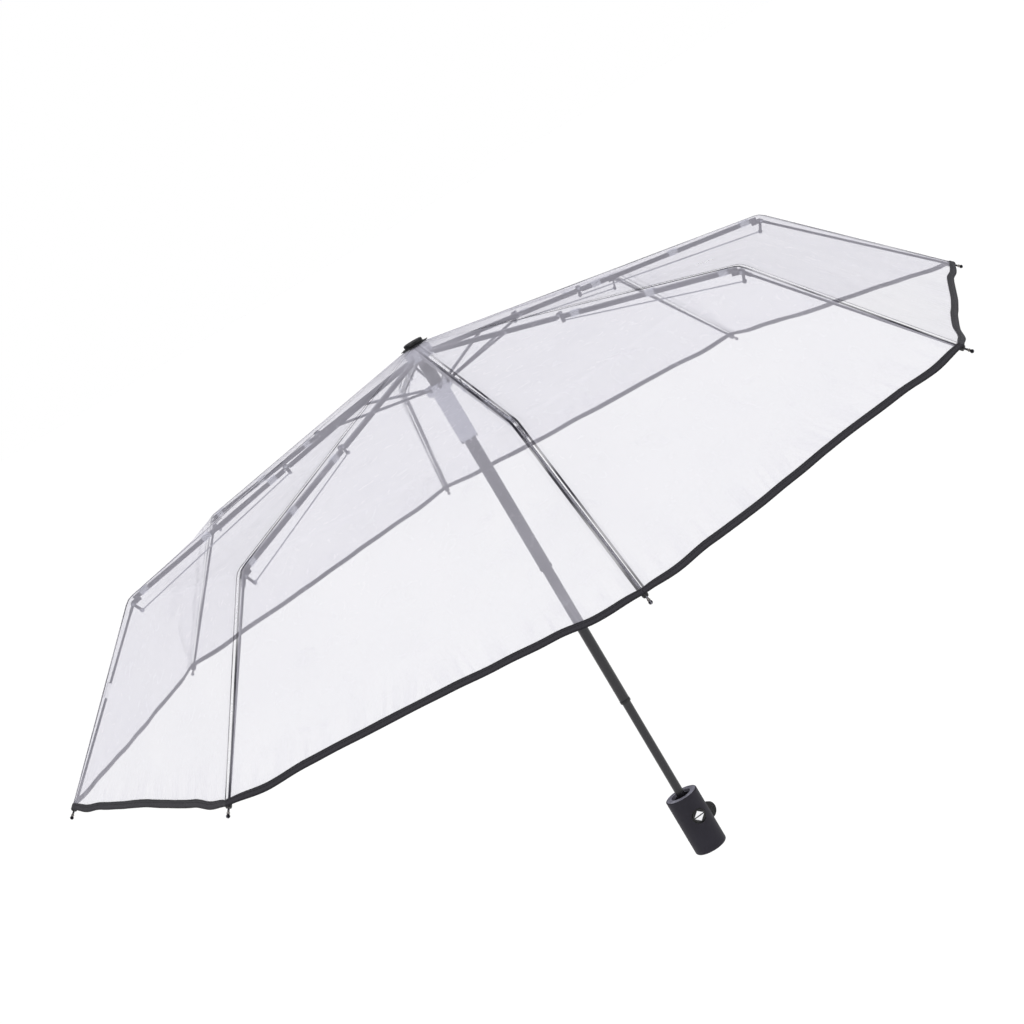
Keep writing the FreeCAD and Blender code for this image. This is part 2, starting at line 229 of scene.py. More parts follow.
# Soft-touch paint over ABS: charcoal, no highlight edge, with a fine orange-peel.
SOFT_TOUCH = Finish("soft_touch_painted_abs", "1D1B23", "28262F", 0.5, (0.5, 0.62), relief_mm=0.02,
                    specular=0.22)
# The turned top face of the grip is glossy; its pale grey colour is a painted reflection of the light it
# picks up, as a pale ring.
GLOSS_ABS_PAINTED_REFLECTION = Finish("gloss_moulded_abs", "5A5963", "8C8B96", 6.0, (0.16, 0.24), coat=0.4)
DEEP_ABS = Finish("black_moulded_abs", "08080A", "121215", 0.8, (0.35, 0.5))
# Electrostatic black enamel on steel tube: satin, with long draw marks along the shaft.
BLACK_TUBE = Finish("black_enamelled_steel_tube", "0C0B0F", "1B1A20", 0.5, (0.26, 0.4), 0.0, 0.01, 30, 0.2)
WIRE = Finish("drawn_steel_wire", "6E6F78", "ABACB5", 0.4, (0.25, 0.35), 1.0, 0.005)
# Brass tips lose their nickel where they knock against things, so they are dull and a little brown.
TIP_METAL = Finish("worn_nickel_plated_brass", "5E5955", "A09C9A", 0.8, (0.2, 0.32), 1.0, 0.004)
CUT_RUBBER = Finish("cut_black_rubber_sheet", "0B0B0D", "1C1B20", 0.5, (0.6, 0.75), relief_mm=0.03)
# Injection moulded nylon without pigment: grey-white and a little see-through.
NATURAL_NYLON = Finish("natural_moulded_nylon", "A9ABB8", "D0D1DB", 1.5, (0.3, 0.42), clear=0.25)
CLEAR_NYLON = Finish("clear_moulded_polycarbonate", "D9DBE6", "F6F7FB", 1.5, (0.1, 0.2), clear=0.72)
WHITE_INK = Finish("white_pad_print", "E4E4E6", "F6F6F7", 0.3, (0.4, 0.5))


@dataclass(frozen=True)
class RolledStrip(Recipe):
    """Steel strip rolled to a channel, with a painted highlight along its back and painted shade down both
    folds.

    The painted highlight band runs along each of the eight ribs, so its place is worked out from the polar
    angle about the shaft.

    Attributes:
        name: The real material, and how it was made.
        dark: Hex colour of the dull patches on the back.
        light: Hex colour of the bright ones.
        fold: Hex colour painted down the folds as shade, with the dark surroundings they reflect.
        painted_highlight_mm: Half width of the painted highlight band.
        soft_mm: How far it takes to turn from the painted highlight to the painted shade.
        metallic: 1 for bare metal.
    """

    name: str
    dark: str
    light: str
    fold: str
    painted_highlight_mm: float
    soft_mm: float = 0.25
    metallic: float = 0.9

    def lay(self, tree: bpy.types.NodeTree) -> None:
        """Adds the finish's nodes to an empty tree."""
        place = add(tree, "TexCoord").outputs["Object"]
        split = add(tree, "SeparateXYZ", Vector=place)
        turn = add(tree, "Math", operation="ARCTAN2", i0=split.outputs[1], i1=split.outputs[0])
        aside = add(tree, "Math", operation="PINGPONG", i0=turn.outputs[0], i1=TURN / RIBS / 2)
        flat = add(tree, "VectorMath", operation="MULTIPLY", i0=place, i1=(1, 1, 0))
        radius = add(tree, "VectorMath", operation="LENGTH", i0=flat.outputs[0])
        away = add(tree, "Math", operation="MULTIPLY", i0=radius.outputs["Value"],
                   i1=add(tree, "Math", operation="SINE", i0=aside.outputs[0]).outputs[0])
        mottle = add(tree, "TexNoise", Vector=place, Scale=1 / (9 * MM), Detail=3.0)
        # Near the rib line the mottled back shows as the painted highlight band; beyond it the fold colour
        # paints shade.
        edge = add(tree, "MapRange", Value=away.outputs[0], i1=(self.painted_highlight_mm - self.soft_mm) * MM,
                   i2=(self.painted_highlight_mm + self.soft_mm) * MM)
        back = ramp(tree, mottle.outputs["Fac"], [(0.35, self.dark), (0.65, self.light)])
        colour = add(tree, "MixRGB", Fac=edge.outputs[0], Color1=back, Color2=linear(self.fold))
        rough = add(tree, "MapRange", Value=mottle.outputs["Fac"], i1=0.3, i2=0.7, i3=0.2, i4=0.38)
        bump = add(tree, "Bump", Height=mottle.outputs["Fac"], Strength=0.2, Distance=0.1 * MM)
        surface = add(tree, "BsdfPrincipled", Base_Color=colour.outputs[0], Roughness=rough.outputs[0],
                      Metallic=self.metallic, Normal=bump.outputs[0])
        add(tree, "OutputMaterial", Surface=surface.outputs[0])


# Zinc plate is silver: the upper ribs carry a painted highlight along the back and painted shade down both
# folds.
PLATED = RolledStrip("zinc_plated_rolled_strip", "77767F", "C3C3CC", "1D1B24", 1.0)
# The outer rods are lacquered black, with a painted highlight along their top.
BLACK_STRIP = RolledStrip("black_lacquered_steel_rod", "4A4852", "8C8B95", "121117", 0.45, 0.2, 0.7)


@dataclass(frozen=True)
class ClearFilm(Recipe):
    """Calendered clear vinyl: nearly white over white, with a lilac veil over what is dark.

    It is milky where it gathers at the crown and puckered along the sewn edge, and its welded seams
    along the ribs are painted dark at their edges, a painted refraction of the dark things they bend into
    view.

    Attributes:
        name: The real material.
        veil: Hex colour of the light that the film scatters.
        seam: Hex colour painted on the seam's edges, standing in for the dark that they refract.
        open_share: Share of light that passes straight through.
        seam_mm: Where the painted dark edge of a welded seam starts and ends, from the rib line.
        ripple_mm: Width of the fine pull marks.
        milky_mm: How far the milky gathering reaches from the crown.
        edge_mm: Distance from the crown to the sewn edge.
    """

    name: str = "calendered_clear_vinyl"
    veil: str = "D0CED9"
    seam: str = "1E1C26"
    open_share: float = 0.60
    seam_mm: tuple[float, float] = (1.7, 3.4)
    ripple_mm: float = 14.0
    milky_mm: float = 75.0
    edge_mm: float = 538.0

    def painted_seam_share(self, tree: bpy.types.NodeTree, away: bpy.types.NodeSocket,
                   along: bpy.types.NodeSocket) -> bpy.types.NodeSocket:
        """How strongly the painted dark edge of the seam shows, which comes and goes along the rib.

        Args:
            tree: The material's node tree.
            away: Distance from the rib line, in millimetres.
            along: Distance from the crown, in millimetres.

        Returns:
            The share, from 0 to 1.
        """
        inside = add(tree, "MapRange", Value=away, i1=self.seam_mm[0] - 0.4, i2=self.seam_mm[0])
        beyond = add(tree, "MapRange", Value=away, i1=self.seam_mm[1], i2=self.seam_mm[1] + 0.4,
                     i3=1.0, i4=0.0)
        line = add(tree, "Math", operation="MULTIPLY", i0=inside.outputs[0], i1=beyond.outputs[0])
        place = add(tree, "TexCoord")
        patches = add(tree, "TexNoise", Vector=place.outputs["Object"], Scale=1 / (60 * MM), Detail=1.0)
        strong = add(tree, "MapRange", Value=patches.outputs["Fac"], i1=0.35, i2=0.6, i3=0.7, i4=0.97)
        clear_of_crown = add(tree, "MapRange", Value=along, i1=40.0, i2=120.0, i3=0.35, i4=1.0)
        shown = add(tree, "Math", operation="MULTIPLY", i0=strong.outputs[0], i1=clear_of_crown.outputs[0])
        return add(tree, "Math", operation="MULTIPLY", i0=line.outputs[0], i1=shown.outputs[0]).outputs[0]

    def haze_share(self, tree: bpy.types.NodeTree, panel: bpy.types.NodeSocket, away: bpy.types.NodeSocket,
                   along: bpy.types.NodeSocket, pulls: bpy.types.NodeSocket) -> bpy.types.NodeSocket:
        """How milky the film is: at the crown, at the puckered edge and in soft clouds.

        Args:
            tree: The material's node tree.
            panel: Panel coordinates.
            away: Distance from the rib line, in millimetres.
            along: Distance from the crown, in millimetres.
            pulls: The pull marks.

        Returns:
            The share of light that the film scatters.
        """
        place = add(tree, "TexCoord")
        broad = add(tree, "TexNoise", Vector=place.outputs["Object"], Scale=1 / (90 * MM), Detail=2.0)
        cloud = add(tree, "MapRange", Value=broad.outputs["Fac"], i1=0.3, i2=0.7, i3=-0.03, i4=0.04)
        streak = add(tree, "MapRange", Value=pulls, i1=0.58, i2=0.75, i3=0.0, i4=0.07)
        fine = add(tree, "Mapping", Vector=panel, Scale=(1 / 5.0, 1 / 60.0, 1))
        pleats = add(tree, "TexNoise", Vector=fine.outputs[0], Scale=1.0, Detail=1.0)
        pleat = add(tree, "MapRange", Value=pleats.outputs["Fac"], i1=0.45, i2=0.7, i3=0.0, i4=1.0)
        near_crown = add(tree, "MapRange", Value=along, i1=10.0, i2=self.milky_mm, i3=0.26, i4=0.0)
        near_edge = add(tree, "MapRange", Value=along, i1=self.edge_mm - 45, i2=self.edge_mm - 4,
                        i3=0.0, i4=0.16)
        puckered = add(tree, "Math", operation="MULTIPLY", i0=pleat.outputs[0], i1=near_edge.outputs[0])
        lap = add(tree, "MapRange", Value=away, i1=5.0, i2=6.0, i3=0.10, i4=0.0)
        total = add(tree, "Math", operation="ADD", i0=cloud.outputs[0], i1=streak.outputs[0])
        taut = add(tree, "MapRange", Value=away, i1=1.2, i2=1.7, i3=-0.2, i4=0.0)
        for part in (near_crown, puckered, lap, taut):
            total = add(tree, "Math", operation="ADD", i0=total.outputs[0], i1=part.outputs[0])
        return add(tree, "Math", operation="ADD", i0=total.outputs[0], i1=1 - self.open_share).outputs[0]

    def lay(self, tree: bpy.types.NodeTree) -> None:
        """Adds the finish's nodes to an empty tree."""
        panel = add(tree, "UVMap", uv_map="panel").outputs[0]
        split = add(tree, "SeparateXYZ", Vector=panel)
        away = add(tree, "Math", operation="ABSOLUTE", i0=split.outputs[0]).outputs[0]
        place = add(tree, "TexCoord")
        pulls = add(tree, "TexNoise", Vector=place.outputs["Object"], Scale=1 / (self.ripple_mm * MM),
                    Detail=2.0, Distortion=1.4)
        edge = self.painted_seam_share(tree, away, split.outputs[1])
        haze = self.haze_share(tree, panel, away, split.outputs[1], pulls.outputs["Fac"])
        solid = add(tree, "Math", operation="MAXIMUM", i0=haze, i1=edge)
        # The seam's edge is painted dark here, standing in for the dark that the seam refracts.
        colour = add(tree, "MixRGB", Fac=edge, Color1=linear(self.veil), Color2=linear(self.seam))
        bump = add(tree, "Bump", Height=pulls.outputs["Fac"], Strength=0.3, Distance=0.5 * MM)
        front = add(tree, "BsdfDiffuse", Color=colour.outputs[0], Roughness=0.5)
        back = add(tree, "BsdfTranslucent", Color=colour.outputs[0])
        scatter = add(tree, "MixShader", Fac=0.5, i1=front.outputs[0], i2=back.outputs[0])
        clear = add(tree, "BsdfTransparent", Color=(1, 1, 1, 1))
        film = add(tree, "MixShader", Fac=solid.outputs[0], i1=clear.outputs[0], i2=scatter.outputs[0])
        gloss = add(tree, "BsdfGlossy", Color=(1, 1, 1, 1), Roughness=0.08, Normal=bump.outputs[0])
        facing = add(tree, "Math", operation="MULTIPLY", i0=add(tree, "Fresnel", IOR=1.3).outputs[0], i1=0.2)
        both = add(tree, "MixShader", Fac=facing.outputs[0], i1=film.outputs[0], i2=gloss.outputs[0])
        add(tree, "OutputMaterial", Surface=both.outputs[0])


@dataclass(frozen=True)
class EdgeTape(Recipe):
    """Woven polyester binding, folded over the film's edge and sewn through.

    Attributes:
        name: The real material.
        dark: Hex colour between the threads.
        light: Hex colour on top of them.
        thread_mm: Spacing of the threads; the real 0.3 mm is drawn a little coarser so that it shows.
        stitch_mm: Length of one stitch of the sewn line.
        width_mm: Width of the folded tape, which is painted darker along its two folds as shade.
    """

    name: str = "woven_polyester_tape"
    dark: str = "131217"
    light: str = "4A4850"
    thread_mm: float = 0.6
    stitch_mm: float = 3.0
    width_mm: float = 7.2

    def lay(self, tree: bpy.types.NodeTree) -> None:
        """Adds the finish's nodes to an empty tree."""
        uv = add(tree, "UVMap", uv_map="panel").outputs[0]
        split = add(tree, "SeparateXYZ", Vector=uv)
        warp = add(tree, "TexWave", Vector=uv, Scale=0.314 / self.thread_mm, bands_direction="X")
        weft = add(tree, "TexWave", Vector=uv, Scale=0.314 / self.thread_mm, bands_direction="Y")
        weave = add(tree, "Math", operation="MULTIPLY", i0=warp.outputs["Fac"], i1=weft.outputs["Fac"])
        raised = ramp(tree, weave.outputs[0], [(0.0, self.dark), (0.8, self.light)])
        across = add(tree, "Math", operation="PINGPONG", i0=split.outputs[1], i1=self.width_mm / 2)
        # Painted shade: the tape is darkened near its two folds.
        fold = add(tree, "MapRange", Value=across.outputs[0], i1=0.5, i2=2.0, i3=0.75, i4=0.0)
        base = add(tree, "MixRGB", Fac=fold.outputs[0], Color1=raised, Color2=linear(self.dark)).outputs[0]
        off_line = add(tree, "Math", operation="ABSOLUTE", i0=add(
            tree, "Math", operation="SUBTRACT", i0=split.outputs[1], i1=4.6).outputs[0])
        on_line = add(tree, "MapRange", Value=off_line.outputs[0], i1=0.25, i2=0.45, i3=1.0, i4=0.0)
        dash = add(tree, "Math", operation="PINGPONG", i0=split.outputs[0], i1=self.stitch_mm / 2)
        sewn = add(tree, "MapRange", Value=dash.outputs[0], i1=0.25, i2=0.4)
        stitch = add(tree, "Math", operation="MULTIPLY", i0=on_line.outputs[0], i1=sewn.outputs[0])
        colour = add(tree, "MixRGB", Fac=stitch.outputs[0], Color1=base, Color2=linear("121115"))
        height = add(tree, "Math", operation="ADD", i0=weave.outputs[0], i1=stitch.outputs[0])
        bump = add(tree, "Bump", Height=height.outputs[0], Strength=0.6, Distance=0.12 * MM)
        surface = add(tree, "BsdfPrincipled", Base_Color=colour.outputs[0], Roughness=0.8,
                      Specular_IOR_Level=0.3, Sheen_Weight=0.05, Normal=bump.outputs[0])
        add(tree, "OutputMaterial", Surface=surface.outputs[0])


# ---------------------------------------------------------------- shop tools


def in_scene(name: str, data: bpy.types.ID) -> bpy.types.Object:
    """Makes an object of some data and links it to the scene."""
    made = bpy.data.objects.new(name, data)
    bpy.context.scene.collection.objects.link(made)
    return made


def lay_uv(mesh: bmesh.types.BMesh, layer: bmesh.types.BMLayerItem,
           places: dict[bmesh.types.BMVert, tuple[float, float]]) -> None:
    """Gives every face corner its vertex's place.

    Args:
        mesh: The bmesh.
        layer: Its UV layer.
        places: The place of each vertex, in millimetres.
    """
    for face in mesh.faces:
        for loop in face.loops:
            loop[layer].uv = places[loop.vert]


def finish_piece(mesh: bmesh.types.BMesh, name: str, body: str, material: bpy.types.Material,
                 place: Optional[Matrix] = None, smooth: float = 40.0) -> bpy.types.Object:
    """Turns a bmesh into a piece that rides on a body.

    Args:
        mesh: The shape, in metres; it is freed.
        name: The piece's name.
        body: The CAD body that it moves with.
        material: Its finish.
        place: Where its own frame lies in the row frame.
        smooth: Edges flatter than this many degrees are shaded smooth.

    Returns:
        The piece, with its origin at the row's origin.
    """
    if place:
        mesh.transform(place)
    bmesh.ops.recalc_face_normals(mesh, faces=mesh.faces)
    data = bpy.data.meshes.new(name)
    mesh.to_mesh(data)
    mesh.free()
    data.materials.append(material)
    data.shade_smooth()
    data.set_sharp_from_angle(angle=math.radians(smooth))
    piece = in_scene(name, data)
    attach(piece, body)
    return piece


def lathe(mesh: bmesh.types.BMesh, outline: Sequence[tuple[float, float]], steps: int = 48,
          place: Optional[Matrix] = None) -> None:
    """Spins an outline about Z and adds it to a bmesh.

    Args:
        mesh: The bmesh to add to.
        outline: (radius, height) pairs in millimetres. Ends at radius 0 close at a pole, and an
            outline that ends where it starts closes as a ring.
        steps: Facets round the axis.
        place: Where the turned shape's own frame goes.
    """
    turned = bmesh.new()
    ring = outline[0] == outline[-1]
    points = [turned.verts.new((r * MM, 0, z * MM)) for r, z in (outline[:-1] if ring else outline)]
    pairs = list(zip(points, points[1:] + points[:1])) if ring else list(zip(points, points[1:]))
    edges = [turned.edges.new(pair) for pair in pairs]
    bmesh.ops.spin(turned, geom=points + edges, cent=(0, 0, 0), axis=(0, 0, 1), angle=TURN,
                   steps=steps, use_merge=True)
    bmesh.ops.remove_doubles(turned, verts=turned.verts, dist=WELD)
    bmesh.ops.recalc_face_normals(turned, faces=turned.faces)
    if place:
        turned.transform(place)
    scratch = bpy.data.meshes.new("scratch")
    turned.to_mesh(scratch)
    turned.free()
    mesh.from_mesh(scratch)
    bpy.data.meshes.remove(scratch)


def in_rib(number: int, point: Sequence[float], tilt: float) -> Matrix:
    """The frame of a rib: x along it, y sideways, z towards the film.

    Args:
        number: The rib, from 1.
        point: (radius, height) of the frame's origin, in metres.
        tilt: How far x points below the horizontal, in radians.

    Returns:
        The frame as a matrix.
    """
    turn = Matrix.Rotation((number - 1) * TURN / RIBS, 4, "Z")
    return turn @ Matrix.Translation((point[0], 0, point[1])) @ Matrix.Rotation(tilt, 4, "Y")


def pivot(name: str) -> tuple[float, float]:
    """(radius, height) of a joint's axis, in metres."""
    x, y, z = JOINTS[name]["pos_m"]
    return math.hypot(x, y), z


def sideways(at: tuple[float, float], low: float) -> Matrix:
    """Turns a lathe's Z to a rib's y, at (x, z) and from y = low, all in millimetres."""
    return Matrix.Translation((at[0] * MM, low * MM, at[1] * MM)) @ Matrix.Rotation(-math.pi / 2, 4, "X")


# ---------------------------------------------------------------- canopy


@dataclass
class Canopy:
    """Eight clear panels over the ribs, and the tape that binds their edge.

    Each panel is cut along the ribs and down its middle, and across at both rib joints, so that
    every part moves with one length of one rib.

    Attributes:
        crown: (radius, height) of the film's ridge at the crown, in millimetres.
        bend: The same where the ridge turns down over the elbows.
        rim: The same at the corners of the edge.
        knee_at: Distance from the crown to the first rib joint.
        bend_soft: Half length of the rounded part of the bend.
        knee_lean: How far the cut at the knee runs down by the middle of a panel, so that less of
            it sticks out past the knee when folded.
        bend_lean: The same for the cut at the elbow.
        sag: How far the middle of a panel hangs in, at the edge.
        scallop: How far the edge curves up between two corners.
        droop: How far the edge hangs out again beside each corner.
        tape: Width of the binding.
        gathered: Share of its width that a panel keeps when folded; not used.
        half_panel: Length of the edge from a corner to the middle of a panel.
    """

    crown: tuple[float, float] = (7.9, 558.9)
    bend: tuple[float, float] = (344.2, 497.2)
    rim: tuple[float, float] = (487.7, 359.5)
    knee_at: float = 153.7
    bend_soft: float = 5.0
    knee_lean: float = 23.0
    bend_lean: float = 24.0
    sag: float = 7.0
    scallop: float = 5.0
    droop: float = 2.6
    tape: float = 7.2
    gathered: float = 0.06
    half_panel: float = 187.0
    film: bpy.types.Material = field(default_factory=lambda: ClearFilm().make())
    binding: bpy.types.Material = field(default_factory=lambda: EdgeTape().make())

    def __post_init__(self) -> None:
        """Works out the two straight lengths of the ridge."""
        self.upper = math.dist(self.crown, self.bend)
        self.total = self.upper + math.dist(self.bend, self.rim)

    def ridge(self, along: float) -> tuple[float, float]:
        """The ridge of the film, over the middle of a rib.

        Args:
            along: Distance from the crown, in millimetres.

        Returns:
            Its (radius, height) in millimetres.
        """

        def straight(s: float) -> Vector:
            """The ridge without its rounded bend."""
            if s <= self.upper:
                return Vector(self.crown).lerp(Vector(self.bend), s / self.upper)
            return Vector(self.bend).lerp(Vector(self.rim), (s - self.upper) / (self.total - self.upper))

        off = (along - self.upper) / self.bend_soft
        if abs(off) >= 1:
            return tuple(straight(along))
        t = (off + 1) / 2
        start, end = straight(self.upper - self.bend_soft), straight(self.upper + self.bend_soft)
        return tuple(start * (1 - t) ** 2 + Vector(self.bend) * 2 * t * (1 - t) + end * t * t)

    def point(self, number: int, side: Side, along: float, across: float) -> Vector:
        """A point of the film.

        Args:
            number: The rib, from 1.
            side: Which side of the rib.
            along: Distance from the crown down the ridge, in millimetres.
            across: 0 on the rib and 1 on the middle of the panel.

        Returns:
            The point in the row frame, in metres.
        """
        r, z = self.ridge(along)
        half = TURN / RIBS
        middle = Vector((r * (1 + math.cos(half)) / 2, side.value * r * math.sin(half) / 2, z))
        flat = Vector((r, 0, z)).lerp(middle, across)
        share = along / self.total
        flat.z -= self.sag * share * across * (2 - across) * 0.8
        at = Matrix.Rotation((number - 1) * TURN / RIBS, 4, "Z") @ flat
        free = min(1.0, across * 4) * min(1.0, share * 3)
        at.z += free * (0.9 * noise.noise(at / 38) + 1.6 * noise.noise(at / 120))
        return at * MM

    def edge(self, number: int, side: Side, across: float) -> float:
        """The film's edge, which curves up between corners.

        Args:
            number: The rib.
            side: Which side of the rib.
            across: 0 on the rib and 1 on the middle of the panel.

        Returns:
            Its distance from the crown, in millimetres.
        """
        along = self.total - self.scallop * across * (2 - across)
        along += self.droop * math.sin(math.pi * min(1.0, across / 0.4)) ** 2
        at = self.point(number, side, along, across)
        return along + 3.2 * min(1.0, across * 5) * noise.noise(at * 9)

    def normal(self, number: int, side: Side, along: float, across: float) -> Vector:
        """The film's outward normal, by differences.

        Args:
            number: The rib.
            side: Which side of the rib.
            along: Distance from the crown, in millimetres.
            across: 0 on the rib and 1 on the middle of the panel.

        Returns:
            The unit normal.
        """
        h = 0.01
        down = self.point(number, side, along + 0.5, across) - self.point(number, side, along - 0.5, across)
        over = self.point(number, side, along, across + h) - self.point(number, side, along, across - h)
        n = down.cross(over).normalized()
        return n if n.z > 0 else -n

    def gather(self, piece: bpy.types.Object, number: int, side: Side, along: float) -> None:
        """Gives a part of a panel its own copy of its mesh; the anchor and directions it works out are not
        used.

        Args:
            piece: The part, already riding on its rib.
            number: The rib.
            side: Which side of the rib it is on.
            along: A distance down the ridge inside the part, in millimetres.
        """
        anchor = self.point(number, side, along, 0)
        ridge = (self.point(number, side, along + 8, 0) - anchor).normalized()
        out = self.point(number, side, along, 1) - anchor
        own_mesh(piece)

    def span(self, number: int, side: Side, section: Section, across: float) -> tuple[float, float, float]:
        """Where a section starts, where it is creased and where it ends.

        Args:
            number: The rib.
            side: Which side of the rib.
            section: Which length of the rib.
            across: 0 on the rib and 1 on the middle of the panel.

        Returns:
            The three distances from the crown, in millimetres.
        """
        knee = self.knee_at + self.knee_lean * across
        elbow = self.upper + self.bend_lean * across
        if section is Section.TOP:
            return 0.0, knee, knee
        if section is Section.MIDDLE:
            return knee, self.upper, elbow
        end = self.edge(number, side, across) - 0.4
        return elbow, end, end

    def patch(self, number: int, side: Side, section: Section,
              cells: tuple[int, int]) -> tuple[bmesh.types.BMesh, list[Vector], tuple[float, float, float]]:
        """A grid laid on the film, with its panel coordinates in millimetres.

        Args:
            number: The rib.
            side: Which side of the rib.
            section: Which length of the rib.
            cells: How many cells across and along.

        Returns:
            The bmesh, its normals by vertex, and its greatest width, its length and its area.
        """
        mesh = bmesh.new()
        bmesh.ops.create_grid(mesh, x_segments=cells[0], y_segments=cells[1], size=0.5)
        uv = mesh.loops.layers.uv.new("panel")
        normals, places, wide, long = {}, {}, 0.0, 0.0
        before = 0.85 if section is Section.MIDDLE else 1.0
        for v in mesh.verts:
            across, share = v.co.x + 0.5, v.co.y + 0.5
            low, crease, high = self.span(number, side, section, across)
            along = low + (crease - low) * min(1.0, share / before)
            along += (high - crease) * max(0.0, share - before) / max(1e-6, 1 - before)
            v.co = self.point(number, side, along, across)
            normals[v] = self.normal(number, side, along, across)
            aside = (v.co - self.point(number, side, along, 0)).length / MM
            places[v] = (aside, along)
            wide, long = max(wide, aside), max(long, along - self.span(number, side, section, 0)[0])
        lay_uv(mesh, uv, places)
        bmesh.ops.remove_doubles(mesh, verts=mesh.verts, dist=WELD)
        mesh.normal_update()
        middle = mesh.faces[:][len(mesh.faces) // 2]
        if middle.normal.dot(normals[middle.verts[0]]) < 0:
            bmesh.ops.reverse_faces(mesh, faces=mesh.faces)
        area = sum(f.calc_area() for f in mesh.faces)
        return mesh, [normals[v] for v in mesh.verts], (wide * MM, long * MM, area)

    def make_panel(self, number: int, side: Side, section: Section) -> None:
        """Makes the part of a panel that lies on one length of one rib.

        Args:
            number: The rib.
            side: Which side of the rib.
            section: Which length of the rib.
        """
        rows = {Section.TOP: 24, Section.MIDDLE: 40, Section.OUTER: 34}[section]
        mesh, normals, (wide, long, area) = self.patch(number, side, section, (20, rows))
        name = f"film_{section.value}_{number}_{side.name.lower()}"
        data = bpy.data.meshes.new(name)
        mesh.to_mesh(data)
        mesh.free()
        data.materials.append(self.film)
        data.shade_smooth()
        data.normals_split_custom_set_from_vertices([tuple(n) for n in normals])
        piece = in_scene(name, data)
        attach(piece, f"{section.value}_{number}")
        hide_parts("canopy_film")
        self.gather(piece, number, side, self.span(number, side, section, 0)[0] + 20)

    def make_tape(self, number: int, side: Side) -> None:
        """Makes the binding of half a panel: a strip folded over the film's edge.

        Args:
            number: The rib.
            side: Which side of the rib.
        """
        mesh = bmesh.new()
        bmesh.ops.create_grid(mesh, x_segments=60, y_segments=12, size=0.5)
        uv = mesh.loops.layers.uv.new("panel")
        places = {}
        for v in mesh.verts:
            across, t = v.co.x + 0.5, v.co.y * 2
            up = self.tape * (1 - 0.25 * math.exp(-across * 12)) * abs(t) ** 1.6
            edge = self.edge(number, side, across)
            lift = 0.55 * math.sin(min(1.0, up / 0.8) * math.pi / 2) * math.copysign(1, t)
            v.co = (self.point(number, side, edge + 0.5 - up, across)
                    + self.normal(number, side, edge - up, across) * lift * MM)
            places[v] = (across * self.half_panel * side.value, up)
        lay_uv(mesh, uv, places)
        piece = finish_piece(mesh, f"edge_tape_{number}_{side.name.lower()}", f"outer_rib_{number}",
                             self.binding)
        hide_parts("hem_binding")
        self.gather(piece, number, side, self.upper + 40)

    def build(self) -> None:
        """Makes every part of the canopy."""
        for number in range(1, RIBS + 1):
            for side in Side:
                for section in Section:
                    self.make_panel(number, side, section)
                self.make_tape(number, side)
            LOG.info("panels and tape on rib %d", number)


# ---------------------------------------------------------------- frame fittings


